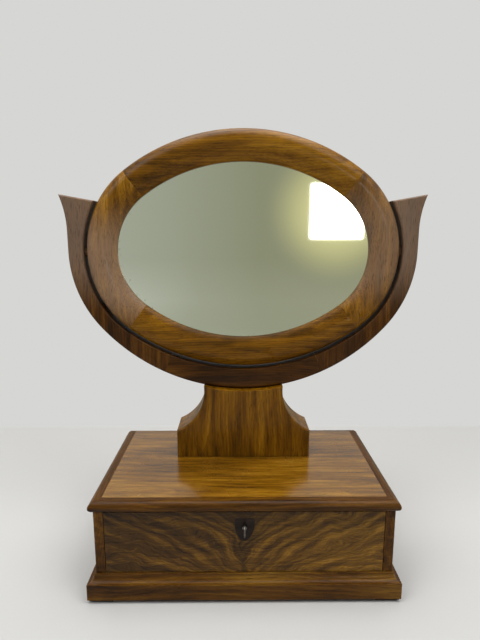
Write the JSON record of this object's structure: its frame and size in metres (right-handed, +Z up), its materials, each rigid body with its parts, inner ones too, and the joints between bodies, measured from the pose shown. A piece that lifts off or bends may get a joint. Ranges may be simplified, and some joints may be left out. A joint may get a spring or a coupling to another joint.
{
  "type": "table mirror",
  "caption": "Oval mirror in a domed wooden frame, tilting between the arms of a U-shaped cradle on a waisted pedestal and a box base with a locking drawer.",
  "frame": {"origin": "on the surface that the mirror stands on, under the middle of its plinth", "axes": "+Z up, the front with the drawer faces -Y, +X to the right as seen from the front; the glass tilts about an axis along X at z 0.4285 m, y 0.042 m"},
  "size_m": [0.499, 0.2232, 0.5915],
  "materials": {
    "polished_mahogany": "French polished",
    "dark_mahogany": "French polished",
    "flame_mahogany": "French polished",
    "pine": "bare, aged",
    "beech": "bare",
    "ebonised_wood": "black polish",
    "brass": "aged",
    "iron": "wrought, filed bright and dulled",
    "leather": "plain",
    "silvered_glass": "silvered at the back"
  },
  "bodies": {
    "case": {"case_left_side": "polished_mahogany", "case_right_side": "polished_mahogany", "case_back": "pine", "case_floor": "pine", "case_top": "polished_mahogany", "nosing_front": "polished_mahogany", "nosing_left": "polished_mahogany", "nosing_right": "polished_mahogany", "plinth_front": "polished_mahogany", "plinth_left": "polished_mahogany", "plinth_right": "polished_mahogany", "plinth_back": "pine", "corner_blocks": "pine", "foot_front_left": "ebonised_wood", "foot_front_right": "ebonised_wood", "foot_back_left": "ebonised_wood", "foot_back_right": "ebonised_wood", "runner_left": "pine", "runner_right": "pine", "drawer_stops": "pine", "pedestal": "polished_mahogany", "pedestal_dowels": "beech", "pedestal_screws": "iron", "cradle_saddle": "dark_mahogany", "cradle_left_arm": "dark_mahogany", "cradle_right_arm": "dark_mahogany", "cradle_tongues": "beech", "cradle_dowels": "beech", "pivot_bush_left": "brass", "pivot_bush_right": "brass"},
    "mirror": {"frame_top": "polished_mahogany", "frame_bottom": "polished_mahogany", "frame_left": "polished_mahogany", "frame_right": "polished_mahogany", "frame_tongues": "beech", "mirror_glass": "silvered_glass", "glass_blocks": "pine", "back_board": "pine", "back_board_nails": "iron", "pivot_nut_left": "brass", "pivot_nut_right": "brass", "pivot_screw_left": "brass", "pivot_screw_right": "brass", "pivot_washer_left": "leather", "pivot_washer_right": "leather"},
    "drawer": {"drawer_front": "pine", "drawer_veneer": "flame_mahogany", "drawer_left_side": "pine", "drawer_right_side": "pine", "drawer_back": "pine", "drawer_bottom": "pine", "escutcheon": "ebonised_wood", "lock_case": "iron", "lock_plate": "brass", "lock_screws": "iron"},
    "lock_bolt": {"lock_bolt": "iron"},
    "key": {"key": "iron"}
  },
  "joints": [
    {"name": "mirror_tilt", "type": "hinge", "parent": "case", "child": "mirror", "pos_m": [0, 0.042, 0.4285], "axis": [1, 0, 0], "continuous": true},
    {"name": "drawer_slide", "type": "slide", "parent": "case", "child": "drawer", "axis": [0, -1, 0], "range_m": [0, 0.125]},
    {"name": "key_turn", "type": "hinge", "parent": "drawer", "child": "key", "pos_m": [0, -0.099, 0.0979], "axis": [0, 1, 0], "range_deg": [0, 180]},
    {"name": "bolt_slide", "type": "slide", "parent": "drawer", "child": "lock_bolt", "axis": [0, 0, 1], "range_m": [0, 0.006]}
  ],
  "couplings": [
    {"joint": "key_turn", "follows": "bolt_slide", "rad_per_m": 523.59}
  ]
}
